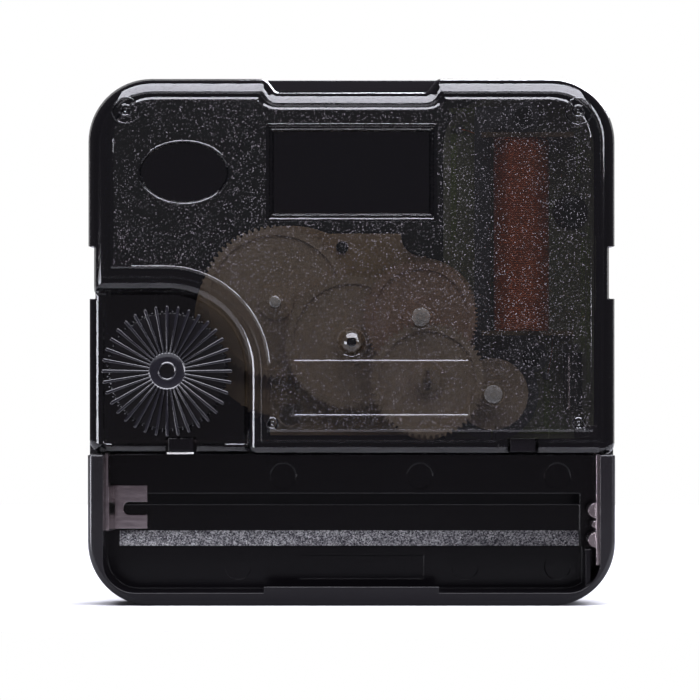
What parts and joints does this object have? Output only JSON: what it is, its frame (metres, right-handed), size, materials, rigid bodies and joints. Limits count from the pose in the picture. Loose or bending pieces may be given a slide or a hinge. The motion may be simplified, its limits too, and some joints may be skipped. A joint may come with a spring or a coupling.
{
  "type": "quartz clock movement",
  "caption": "Square quartz clock movement with a black case, a cell bay, a smoky cover, a setting knob, and a threaded bush with hour, minute and second shafts.",
  "frame": {"origin": "on the hand shaft's axis, in the plane of the dial seat, at the root of the threaded bush", "axes": "+Z points to twelve o'clock, +Y out of the dial along the hand shafts, and +X to the right as seen from behind"},
  "size_m": [0.056, 0.0295, 0.056],
  "materials": {
    "case_black": "satin moulded black polystyrene",
    "cover_smoky": "transparent smoky polystyrene, fine spark-eroded grain inside a glossy border",
    "knob_black": "semi-gloss moulded blue-black",
    "bush_brass": "turned brass, threaded",
    "pipe_brass": "turned brass",
    "arbor_steel": "polished steel wire",
    "contact_nickel": "nickel plated spring sheet",
    "plate_cream": "natural acetal moulding",
    "gear_natural": "natural acetal moulding",
    "gear_rose": "faintly pink acetal moulding",
    "wire_copper": "enamelled copper wire",
    "core_steel": "bare silicon steel stampings",
    "magnet_grey": "bonded magnet",
    "board_green": "lacquered circuit board",
    "resin_black": "poured resin"
  },
  "bodies": {
    "body": {"front_case": "case_black", "rear_cover": "cover_smoky", "threaded_bush": "bush_brass", "middle_plate": "plate_cream", "coil_bobbin": "plate_cream", "coil_winding": "wire_copper", "coil_core": "core_steel", "stator_left": "core_steel", "stator_right": "core_steel", "circuit_board": "board_green", "chip_drop": "resin_black", "quartz_crystal": "contact_nickel", "battery_contact_negative": "contact_nickel", "battery_contact_positive": "contact_nickel"},
    "rotor": {"rotor_magnet": "magnet_grey", "rotor_pinion": "gear_natural"},
    "sixth": {"sixth_wheel": "gear_natural"},
    "fifth": {"fifth_wheel": "gear_rose"},
    "second": {"second_wheel": "gear_natural", "second_arbor": "arbor_steel"},
    "third": {"third_wheel": "gear_natural"},
    "centre": {"centre_wheel": "gear_natural"},
    "minute": {"minute_pipe": "pipe_brass", "clutch_spring": "contact_nickel"},
    "motion": {"motion_wheel": "gear_natural"},
    "hour": {"hour_wheel": "pipe_brass"},
    "setting": {"setting_gear": "knob_black", "setting_knob": "knob_black"}
  },
  "joints": [
    {"name": "rotor_spin", "type": "hinge", "parent": "body", "child": "rotor", "pos_m": [0.01506, 0, -0.00556], "axis": [0, -1, 0], "continuous": true},
    {"name": "sixth_spin", "type": "hinge", "parent": "body", "child": "sixth", "pos_m": [0.00812, 0, -0.00406], "axis": [0, -1, 0], "continuous": true},
    {"name": "fifth_spin", "type": "hinge", "parent": "body", "child": "fifth", "pos_m": [0.00737, 0, 0.00267], "axis": [0, -1, 0], "continuous": true},
    {"name": "second_spin", "type": "hinge", "parent": "body", "child": "second", "pos_m": [0, 0, 0], "axis": [0, -1, 0], "continuous": true},
    {"name": "third_spin", "type": "hinge", "parent": "body", "child": "third", "pos_m": [-0.00812, 0, 0.00427], "axis": [0, -1, 0], "continuous": true},
    {"name": "centre_spin", "type": "hinge", "parent": "body", "child": "centre", "pos_m": [0, 0, 0], "axis": [0, -1, 0], "continuous": true},
    {"name": "minute_spin", "type": "hinge", "parent": "body", "child": "minute", "pos_m": [0, 0, 0], "axis": [0, -1, 0], "continuous": true},
    {"name": "motion_spin", "type": "hinge", "parent": "body", "child": "motion", "pos_m": [-0.00725, 0, -0.00287], "axis": [0, -1, 0], "continuous": true},
    {"name": "hour_spin", "type": "hinge", "parent": "body", "child": "hour", "pos_m": [0, 0, 0], "axis": [0, -1, 0], "continuous": true},
    {"name": "setting_spin", "type": "hinge", "parent": "body", "child": "setting", "pos_m": [-0.0196, 0, -0.0031], "axis": [0, -1, 0], "continuous": true}
  ],
  "couplings": [
    {"joint": "third_spin", "follows": "centre_spin", "ratio": -8},
    {"joint": "second_spin", "follows": "centre_spin", "ratio": 60},
    {"joint": "fifth_spin", "follows": "centre_spin", "ratio": -600},
    {"joint": "sixth_spin", "follows": "centre_spin", "ratio": 4800},
    {"joint": "rotor_spin", "follows": "centre_spin", "ratio": -28800},
    {"joint": "motion_spin", "follows": "minute_spin", "ratio": -0.33333},
    {"joint": "hour_spin", "follows": "minute_spin", "ratio": 0.083333},
    {"joint": "setting_spin", "follows": "minute_spin", "ratio": 0.3}
  ]
}
